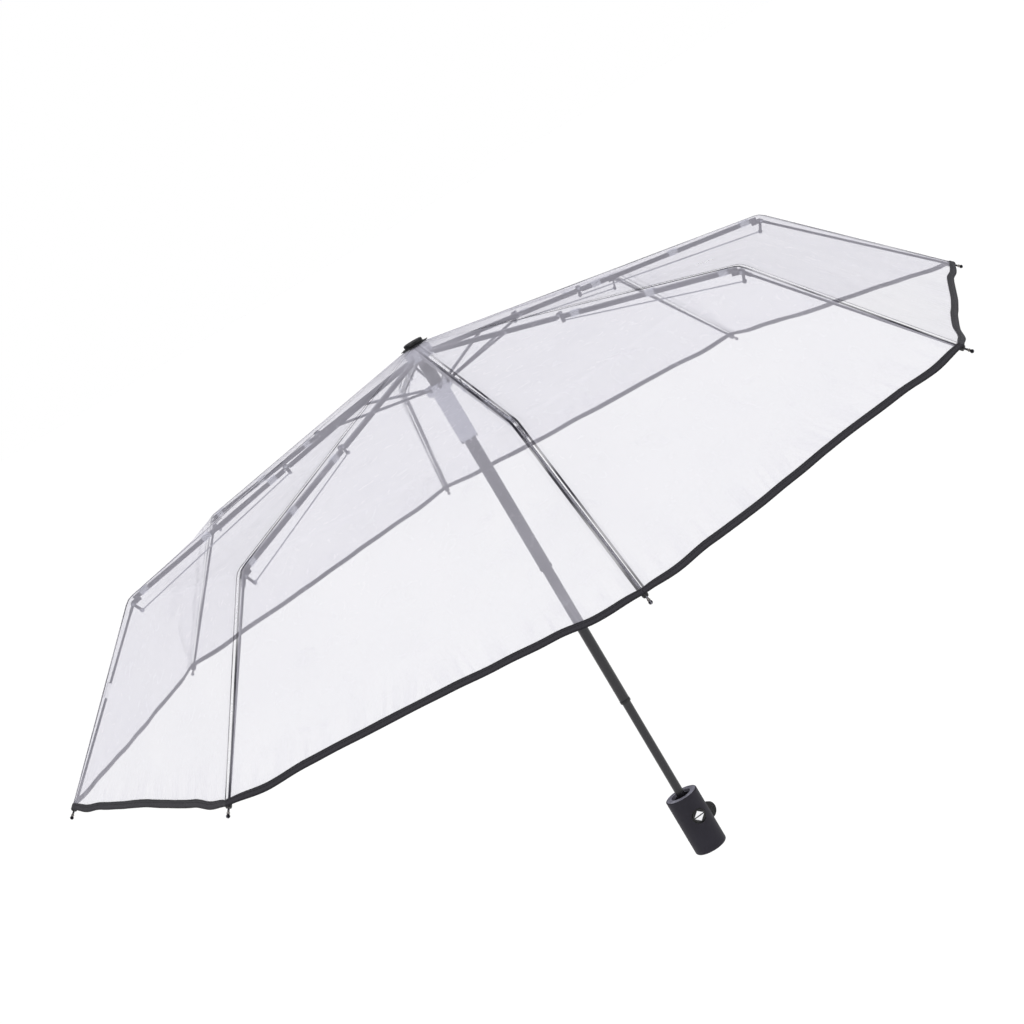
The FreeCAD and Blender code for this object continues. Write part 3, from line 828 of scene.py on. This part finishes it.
@dataclass
class RibFittings:
    """Rivets, clips and tips of the folding ribs.

    Attributes:
        outer_tilt: Slope of the outer rib, in degrees.
        outer_length: From the elbow to the end of its rod, in millimetres.
        crank: The outer rib's control pin from the elbow, along and square to the upper rib.
        rivet: (radius, height) of a rivet's domed head.
        rod_side: How far aside of the rib the control rod's rivets are.
        clips: Name of each clip, and its distance past the knee.
        patch_at: Distance of the white patch past the elbow.
    """

    outer_tilt: float = 42.68
    outer_length: float = 196.15
    crank: tuple[float, float] = (-2.81, -9.22)
    rivet: tuple[float, float] = (1.5, 0.45)
    rod_side: float = 4.3
    clips: tuple[tuple[str, float], ...] = (("knee_clip", 17.0), ("waist_clip", 96.0), ("bend_clip", 170.0))
    patch_at: float = 82.0

    def __post_init__(self) -> None:
        """Reads the pivots of rib 1; the others are the same, turned."""
        self.crown, self.knee = pivot("canopy_fold"), pivot("middle_rib_fold_1")
        self.elbow, self.rod = pivot("outer_rib_fold_1"), pivot("control_rod_fold_1")
        self.mid = pivot("stretcher_fold_1")
        dr, dz = self.knee[0] - self.crown[0], self.knee[1] - self.crown[1]
        self.tilt = math.atan2(-dz, dr)

    def local(self, number: int, at: tuple[float, float]) -> Matrix:
        """The frame of an upper rib, with its origin at (radius, height) in metres."""
        return in_rib(number, at, self.tilt)

    def head(self, mesh: bmesh.types.BMesh, frame_at: Matrix, y: float, scale: float = 1.0,
             at: tuple[float, float] = (0.0, 0.0)) -> None:
        """Adds a domed rivet head that points away from the rib.

        Args:
            mesh: The bmesh to add to.
            frame_at: The rib's frame.
            y: Where the head sits, sideways, in millimetres.
            scale: Its size beside the usual one.
            at: Its place along and square to the rib, in millimetres.
        """
        r, h = self.rivet[0] * scale, self.rivet[1] * scale
        outline = [(0, h), (r * 0.45, h * 0.9), (r * 0.8, h * 0.55), (r, 0.1), (r, -0.15), (0, -0.15)]
        turn = Matrix.Rotation(math.pi, 4, "X") if y < 0 else Matrix.Identity(4)
        lathe(mesh, outline, 16, frame_at @ sideways(at, y) @ turn)

    def make_rivets(self, number: int) -> None:
        """Makes the rivet heads of one rib, one piece for each body.

        Args:
            number: The rib.
        """
        top = bmesh.new()
        for at in (self.mid, self.knee):
            for y in (2.2, -2.2):
                self.head(top, self.local(number, at), y)
        self.head(top, self.local(number, self.rod), self.rod_side, 0.8)
        finish_piece(top, f"rivets_top_{number}", f"top_rib_{number}", WIRE.make())
        outer = bmesh.new()
        elbow = self.local(number, self.elbow)
        for y in (2.7, -2.2):
            self.head(outer, elbow, y)
        self.head(outer, elbow, self.rod_side, 0.8, self.crank)
        finish_piece(outer, f"rivets_outer_{number}", f"outer_rib_{number}", WIRE.make())

    def saddle(self, size: tuple[float, float, float], wall: float) -> bmesh.types.BMesh:
        """A clip bent over a channel, open below.

        Args:
            size: Length, width and height in millimetres.
            wall: Thickness in millimetres.

        Returns:
            The clip about its own middle, with its top at z = 0.
        """
        length, width, height = size
        mesh = bmesh.new()
        corners = [(-width / 2, -height), (-width / 2, 0), (width / 2, 0), (width / 2, -height)]
        verts = [mesh.verts.new((-length / 2 * MM, y * MM, z * MM)) for y, z in corners]
        for pair in zip(verts, verts[1:]):
            mesh.edges.new(pair)
        bmesh.ops.bevel(mesh, geom=verts[1:3], offset=1.2 * MM, segments=4, profile=0.5,
                        affect="VERTICES", material=-1)
        made = bmesh.ops.extrude_edge_only(mesh, edges=mesh.edges[:])["geom"]
        moved = [g for g in made if isinstance(g, bmesh.types.BMVert)]
        bmesh.ops.translate(mesh, verts=moved, vec=(length * MM, 0, 0))
        bmesh.ops.recalc_face_normals(mesh, faces=mesh.faces)
        bmesh.ops.solidify(mesh, geom=mesh.faces[:], thickness=wall * MM)
        return mesh

    def make_clips(self, number: int) -> None:
        """Makes the clear clips beside the knee and the elbow that keep the film on the ribs.

        Args:
            number: The rib.
        """
        for name, x in self.clips:
            place = self.local(number, self.knee) @ Matrix.Translation((x * MM, 0, 0.9 * MM))
            finish_piece(self.saddle((9.0, 5.4, 5.6), 0.5), f"{name}_{number}", f"middle_rib_{number}",
                         CLEAR_NYLON.make(), place)

    def make_tip(self, number: int) -> None:
        """Makes the plated tip with its ball, and the black cup that holds the corner of the film.

        Args:
            number: The rib.
        """
        place = in_rib(number, self.elbow, math.radians(self.outer_tilt)) @ Matrix.Translation(
            (self.outer_length * MM, 0, 0)) @ Matrix.Rotation(math.pi / 2, 4, "Y")
        ball = [(1.4 * math.sin(a), 5.0 - 1.4 * math.cos(a)) for a in
                [math.radians(d) for d in (38, 60, 80, 100, 120, 140, 160)]]
        pin = bmesh.new()
        lathe(pin, [(0, -5), (1.3, -5), (1.3, 0.6), (0.9, 1.1), (0.85, 2.9), (1.05, 3.3), (0.88, 3.85)]
              + ball + [(0, 6.4)], 24, place)
        finish_piece(pin, f"tip_{number}", f"outer_rib_{number}", TIP_METAL.make())
        cup = bmesh.new()
        lathe(cup, [(1.5, 1.0), (2.3, 0.8), (2.6, 0.0), (2.6, -5.5), (2.2, -6.4), (1.5, -6.6), (1.5, 1.0)],
              24, place)
        finish_piece(cup, f"tip_cup_{number}", f"outer_rib_{number}", DEEP_ABS.make())

    def make_stud_patch(self) -> None:
        """Makes the white patch on the first outer rib, where the closing band is fixed."""
        place = in_rib(1, self.elbow, math.radians(self.outer_tilt)) @ Matrix.Translation(
            (self.patch_at * MM, 0, 2.6 * MM))
        finish_piece(self.saddle((14.0, 6.0, 4.2), 0.4), "band_patch", "outer_rib_1",
                     WHITE_INK.make(), place)

    def build(self) -> None:
        """Makes the fittings of all ribs."""
        for number in range(1, RIBS + 1):
            self.make_rivets(number)
            self.make_clips(number)
            self.make_tip(number)
        self.make_stud_patch()
        LOG.info("rivets, clips and tips")


# ---------------------------------------------------------------- crown, runner and shaft


@dataclass
class Crown:
    """The cap that closes the film over the shaft, and the gathered washer below it.

    Attributes:
        radius: Radius of the cap.
        thick: Its thickness above the washer.
        washer: Radius of the washer, whose edge is cut by hand.
    """

    radius: float = 9.5
    thick: float = 3.5
    washer: float = 13.3

    def build(self) -> None:
        """Makes the cap and the washer."""
        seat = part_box("top_cap")[1][2] / MM - self.thick
        top = seat + self.thick
        mesh = bmesh.new()
        lathe(mesh, [(0, 541), (4.8, 541), (4.8, seat), (self.radius - 0.4, seat), (self.radius, seat + 0.4),
                     (self.radius, top - 1.1), (self.radius - 0.3, top - 0.45),
                     (self.radius - 1.1, top - 0.08),
                     (7.0, top), (6.6, top - 0.3), (6.2, top - 0.3), (5.8, top), (2.2, top + 0.05),
                     (1.7, top - 0.5), (0, top - 0.6)], 64)
        cap = finish_piece(mesh, "crown_cap", "crown", DEEP_ABS.make())
        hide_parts("top_cap")
        disc = bmesh.new()
        lathe(disc, [(5.1, seat - 0.6), (8.0, seat - 0.62), (self.washer, seat - 0.75),
                     (self.washer, seat - 0.35), (8.0, seat - 0.12), (5.1, seat - 0.1),
                     (5.1, seat - 0.6)], 96)
        for v in disc.verts:
            r = math.hypot(v.co.x, v.co.y) / MM
            if r > 10:
                turn = math.atan2(v.co.y, v.co.x)
                grow = 1 + 0.05 * math.cos(turn * RIBS) + 0.05 * noise.noise(v.co * 900)
                v.co.x, v.co.y = v.co.x * grow, v.co.y * grow
                v.co.z += (0.25 * math.cos(turn * RIBS) - 0.35) * MM
        washer = finish_piece(disc, "crown_washer", "crown", CUT_RUBBER.make())
        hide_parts("cap_washer")
        LOG.info("crown cap and washer")


@dataclass
class Shaft:
    """Crimped collars at the tube steps, and the runner's grip rings.

    Attributes:
        collar: Height of a rolled collar, in millimetres.
        rings: Heights of the runner's rings below its pivots, in millimetres.
    """

    collar: float = 3.4
    rings: tuple[float, ...] = (16.0, 22.0, 28.0, 34.0, 40.0, 46.0)

    def make_collar(self, tube: str, body: str, radius: float) -> None:
        """Rolls a collar round the lower end of a tube.

        Args:
            tube: The tube's node.
            body: The body it is on.
            radius: The tube's outer radius in millimetres.
        """
        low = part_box(tube)[0][2] / MM
        mesh = bmesh.new()
        lathe(mesh, [(radius - 0.3, low), (radius + 0.08, low + 0.15), (radius + 0.22, low + 0.7),
                     (radius + 0.22, low + self.collar - 0.7), (radius + 0.06, low + self.collar),
                     (radius - 0.3, low + self.collar), (radius - 0.3, low)], 48)
        finish_piece(mesh, f"{tube}_collar", body, DEEP_ABS.make())

    def make_runner_rings(self) -> None:
        """Makes the raised rings of the runner's sleeve and the dark lip at its lower end."""
        height = pivot("runner_slide")[1] / MM
        mesh = bmesh.new()
        for down in self.rings:
            z = height - down
            lathe(mesh, [(8.6, z - 0.7), (8.95, z - 0.45), (9.1, z), (8.95, z + 0.45), (8.6, z + 0.7),
                         (8.6, z - 0.7)], 64)
        finish_piece(mesh, "runner_rings", "runner", NATURAL_NYLON.make())
        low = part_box("runner")[0][2] / MM
        lip = bmesh.new()
        lathe(lip, [(6.5, low - 0.05), (8.3, low - 0.05), (8.85, low + 0.5), (8.85, low + 1.5),
                    (8.6, low + 1.7), (6.5, low + 0.3), (6.5, low - 0.05)], 64)
        # The lip takes the plated strip finish, so most of it shows that finish's painted fold shade, with
        # narrow painted highlight bands at the rib angles.
        finish_piece(lip, "runner_lip", "runner", PLATED.make())

    def build(self) -> None:
        """Makes the shaft's small parts."""
        self.make_collar("upper_tube", "crown", 6.0)
        self.make_collar("middle_tube", "middle_tube", 5.1)
        self.make_runner_rings()
        LOG.info("collars and runner rings")


# ---------------------------------------------------------------- grip


@dataclass
class Grip:
    """What the hand sees: the pale top ring, the button with its two arrows, and the strap lug.

    Attributes:
        radius: Radius of the grip.
        cup: Radius of the cup round the shaft.
        button: Radius of the push button.
        button_turn: Where the button faces, in degrees about Z.
        button_height: Height of its middle.
        lug_turn: Where the lug points, in degrees about Z.
        lug: Radius of the lug's disc.
    """

    radius: float = 16.5
    cup: float = 9.75
    button: float = 6.8
    button_turn: float = 101.0
    button_height: float = 37.5
    lug_turn: float = 202.5
    lug: float = 8.5

    def make_bezel(self) -> None:
        """Makes the glossy ring on the grip's top face."""
        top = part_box("handle_shell")[1][2] / MM
        mesh = bmesh.new()
        lathe(mesh, [(self.cup + 0.25, top - 3.0), (self.cup + 0.25, top - 0.1), (self.cup + 0.6, top + 0.28),
                     (self.radius - 1.4, top + 0.3), (self.radius - 0.85, top + 0.1),
                     (self.radius - 0.8, top - 0.2), (self.cup - 0.15, top - 0.2),
                     (self.cup - 0.15, top - 3.0), (self.cup + 0.25, top - 3.0)], 96)
        # The ring's pale colour is a painted reflection.
        finish_piece(mesh, "grip_bezel", "grip", GLOSS_ABS_PAINTED_REFLECTION.make())

    def button_frame(self, out: float) -> Matrix:
        """The button's frame: z out of the grip and y up.

        Args:
            out: Distance from the shaft's axis, in millimetres.

        Returns:
            The frame as a matrix.
        """
        turn = Matrix.Rotation(math.radians(self.button_turn), 4, "Z")
        face = Matrix(((0, 0, 1, 0), (1, 0, 0, 0), (0, 1, 0, 0), (0, 0, 0, 1)))
        return turn @ Matrix.Translation((out * MM, 0, self.button_height * MM)) @ face

    def make_button(self) -> None:
        """Makes the button's cap and the two printed arrows, raised by the ink's thickness."""
        mesh = bmesh.new()
        r = self.button
        lathe(mesh, [(0, -2.1), (r, -2.1), (r, -0.45), (r - 0.15, -0.15), (r - 0.5, 0.0), (r - 0.9, 0.0),
                     (r - 1.1, -0.15), (r - 1.35, -0.15), (r - 1.6, 0.0), (0, 0.12)], 64,
              self.button_frame(15.9))
        cap = finish_piece(mesh, "button_cap", "push_button", DEEP_ABS.make())
        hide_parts("push_button")
        arrows = bmesh.new()
        for up in (1, -1):
            corners = [(-5.3, 0.6 * up), (5.3, 0.6 * up), (0.4 * up, 5.2 * up)]
            face = arrows.faces.new([arrows.verts.new((x * MM, y * MM, 0.05 * MM)) for x, y in corners])
            made = bmesh.ops.extrude_face_region(arrows, geom=[face])["geom"]
            lifted = [g for g in made if isinstance(g, bmesh.types.BMVert)]
            bmesh.ops.translate(arrows, verts=lifted, vec=(0, 0, 0.16 * MM))
        finish_piece(arrows, "button_arrows", "push_button", WHITE_INK.make(),
                     self.button_frame(15.9))
        rim = bmesh.new()
        lathe(rim, [(r + 0.32, -0.6), (r + 0.75, -0.6), (r + 0.75, 0.05), (r + 0.55, 0.2), (r + 0.32, 0.05),
                    (r + 0.32, -0.6)], 64)
        for v in rim.verts:
            v.co.z += (math.sqrt(max(0.0, self.radius ** 2 - (v.co.x / MM) ** 2)) - self.radius) * MM
        finish_piece(rim, "button_surround", "grip", DEEP_ABS.make(),
                     self.button_frame(self.radius))

    def make_lug(self) -> None:
        """Makes the strap lug: a grooved disc, half of it inside the grip, with the cord hole."""
        mesh = bmesh.new()
        grooves = [(2.4, 1.8)]
        for start in (3.6, 5.4, 7.2):
            grooves += [(start, 1.8), (start + 0.2, 1.5), (start + 0.6, 1.5), (start + 0.8, 1.8)]
        rim = [(self.lug - 0.15, 1.75), (self.lug, 1.5), (self.lug, -1.5), (self.lug - 0.15, -1.75)]
        face = [(r, -z) for r, z in reversed(grooves)]
        lathe(mesh, [(0, 1.8)] + grooves + rim + face + [(0, -1.8)], 64)
        mesh.transform(Matrix.Rotation(math.pi / 2, 4, "X"))
        height = sum(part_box("strap_lug")[i][2] for i in (0, 1)) / 2
        turn = Matrix.Rotation(math.radians(self.lug_turn), 4, "Z")
        mesh.transform(turn @ Matrix.Translation((17.0 * MM, 0, height)))
        out = turn @ Vector((1, 0, 0))
        cut = bmesh.ops.bisect_plane(mesh, geom=mesh.verts[:] + mesh.edges[:] + mesh.faces[:],
                                     plane_co=out * 15.9 * MM, plane_no=out, clear_inner=True)
        loop = [g for g in cut["geom_cut"] if isinstance(g, bmesh.types.BMEdge)]
        bmesh.ops.holes_fill(mesh, edges=loop, sides=0)
        lug = finish_piece(mesh, "strap_lug_disc", "grip", DEEP_ABS.make())
        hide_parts("strap_lug")
        eye = bmesh.new()
        place = turn @ Matrix.Translation((21.4 * MM, 0, height)) @ Matrix.Rotation(math.pi / 2, 4, "X")
        lathe(eye, [(1.6, -2.0), (2.1, -2.0), (2.3, -1.8), (2.3, 1.8), (2.1, 2.0), (1.6, 2.0), (1.6, -2.0)],
              32, place)
        finish_piece(eye, "strap_eyelet", "grip", DEEP_ABS.make())

    def build(self) -> None:
        """Makes the grip's parts."""
        self.make_bezel()
        self.make_button()
        self.make_lug()
        LOG.info("grip")


# ---------------------------------------------------------------- carried-over parts and the studio


def dress_frame() -> None:
    """Gives each CAD node that stays its real finish."""
    finishes = {
        "handle_shell": SOFT_TOUCH, "handle_base_cap": DEEP_ABS, "lower_tube": BLACK_TUBE,
        "middle_tube": BLACK_TUBE, "upper_tube": BLACK_TUBE, "crown_notch": NATURAL_NYLON,
        "runner": NATURAL_NYLON, "crown_ring_wire": WIRE, "runner_ring_wire": WIRE, "top_rib": PLATED,
        "stretcher": PLATED, "middle_rib": PLATED, "outer_rib": BLACK_STRIP, "control_rod": WIRE,
    }
    for node in frame["nodes"]:
        key = node if node in finishes else node.rsplit("_", 1)[0]
        piece = bpy.data.objects.get(node)
        if piece is None or key not in finishes:
            continue
        material = finishes[key].make()
        for index in range(len(piece.material_slots)):
            piece.material_slots[index].material = material
    LOG.info("frame finishes")


@dataclass
class Studio:
    """White sweep, even light and the camera.

    Attributes:
        eye: The camera's place, in metres.
        look: The direction it looks in.
        up: The direction that is up in its picture.
        lens: Focal length for a 36 mm sensor.
        floor: Height of the floor.
    """

    eye: tuple[float, float, float] = (0.2245, 2.0998, 0.7359)
    look: tuple[float, float, float] = (-0.1044, -0.9805, -0.1666)
    up: tuple[float, float, float] = (-0.523, -0.0884, 0.8477)
    lens: float = 80.7
    floor: float = -0.75

    def make_camera(self) -> None:
        """Places the camera, which is rolled so that the umbrella lies across the picture."""
        data = bpy.data.cameras.new("camera")
        data.lens, data.sensor_width, data.clip_end = self.lens, 36.0, 100.0
        camera = in_scene("camera", data)
        back = -Vector(self.look).normalized()
        right = Vector(self.up).cross(back).normalized()
        above = back.cross(right)
        turn = Matrix((right, above, back)).transposed().to_4x4()
        camera.matrix_world = Matrix.Translation(self.eye) @ turn
        bpy.context.scene.camera = camera

    def make_light(self) -> None:
        """Lights the scene evenly; shiny surfaces see dark flags round the sides and light overhead."""
        world = bpy.data.worlds.new("studio")
        bpy.context.scene.world = world
        world.use_nodes = True
        tree = world.node_tree
        tree.nodes.clear()
        height = add(tree, "SeparateXYZ", Vector=add(tree, "TexCoord").outputs["Generated"])
        flags = ramp(tree, height.outputs[2],
                     [(0.0, "2E2D35"), (0.25, "4A4953"), (0.5, "9C9CA6"), (0.8, "FFFFFF")])
        mirrored = add(tree, "Background", Color=flags)
        plain = add(tree, "Background", Color=(1, 1, 1, 1))
        shown = add(tree, "MixShader", Fac=add(tree, "LightPath").outputs["Is Glossy Ray"],
                    i1=plain.outputs[0], i2=mirrored.outputs[0])
        add(tree, "OutputWorld", Surface=shown.outputs[0])
        for name, at, size, power in (("key", (1.6, 1.8, 2.2), 1.2, 14.0),
                                      ("fill", (-2.0, 1.0, 1.4), 1.6, 7.0)):
            data = bpy.data.lights.new(name, "AREA")
            data.size, data.energy = size, power
            lamp = in_scene(name, data)
            aim = Vector((0, 0, 0.4)) - Vector(at)
            lamp.matrix_world = Matrix.Translation(at) @ aim.to_track_quat("-Z", "Y").to_matrix().to_4x4()
        bpy.context.scene.view_settings.view_transform = "Standard"

    def make_floor(self) -> None:
        """Lays a wide pale floor."""
        mesh = bmesh.new()
        bmesh.ops.create_grid(mesh, x_segments=1, y_segments=1, size=40)
        mesh.transform(Matrix.Translation((0, 0, self.floor)))
        data = bpy.data.meshes.new("floor")
        mesh.to_mesh(data)
        mesh.free()
        material = bpy.data.materials.new("white_painted_floor")
        material.use_nodes = True
        surface = material.node_tree.nodes["Principled BSDF"]
        surface.inputs["Base Color"].default_value = (0.97, 0.97, 0.97, 1)
        surface.inputs["Roughness"].default_value = 1.0
        surface.inputs["Specular IOR Level"].default_value = 0.0
        surface.inputs["Emission Color"].default_value = (1, 1, 1, 1)
        surface.inputs["Emission Strength"].default_value = 0.05
        data.materials.append(material)
        in_scene("floor", data)

    def build(self) -> None:
        """Sets up the camera, the light and the floor."""
        self.make_camera()
        self.make_light()
        self.make_floor()


def main() -> None:
    """Builds the umbrella's looks in order."""
    logging.basicConfig(level=logging.INFO, format="%(name)s: %(message)s")
    Studio().build()
    dress_frame()
    for assembly in (Canopy(), RibFittings(), Crown(), Shaft(), Grip()):
        assembly.build()


if __name__ == "__main__":
    main()
